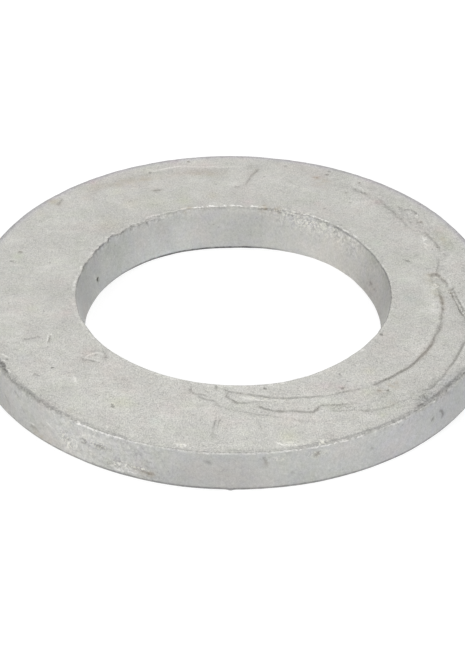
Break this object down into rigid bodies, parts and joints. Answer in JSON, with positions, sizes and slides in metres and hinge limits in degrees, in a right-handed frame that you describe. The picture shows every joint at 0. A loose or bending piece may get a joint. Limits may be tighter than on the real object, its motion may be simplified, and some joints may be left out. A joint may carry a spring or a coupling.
{
  "type": "flat washer",
  "caption": "Plain round flat washer in hot-dip galvanised steel, a thick flat ring with a central bolt hole that spreads a nut's or bolt head's load.",
  "frame": {"origin": "centre of the lower bearing face, on the bolt axis", "axes": "+Z along the bolt axis, from the die-roll side with the rounded edges to the break side where the bolt hole is widest; X and Y lie in the lower bearing face"},
  "size_m": [0.0442, 0.0442, 0.0037],
  "materials": {
    "galvanised_steel": "hot-dip galvanised, matt light grey with fine grain and zinc flow lines"
  },
  "bodies": {
    "root": {"washer_ring": "galvanised_steel"}
  },
  "joints": []
}
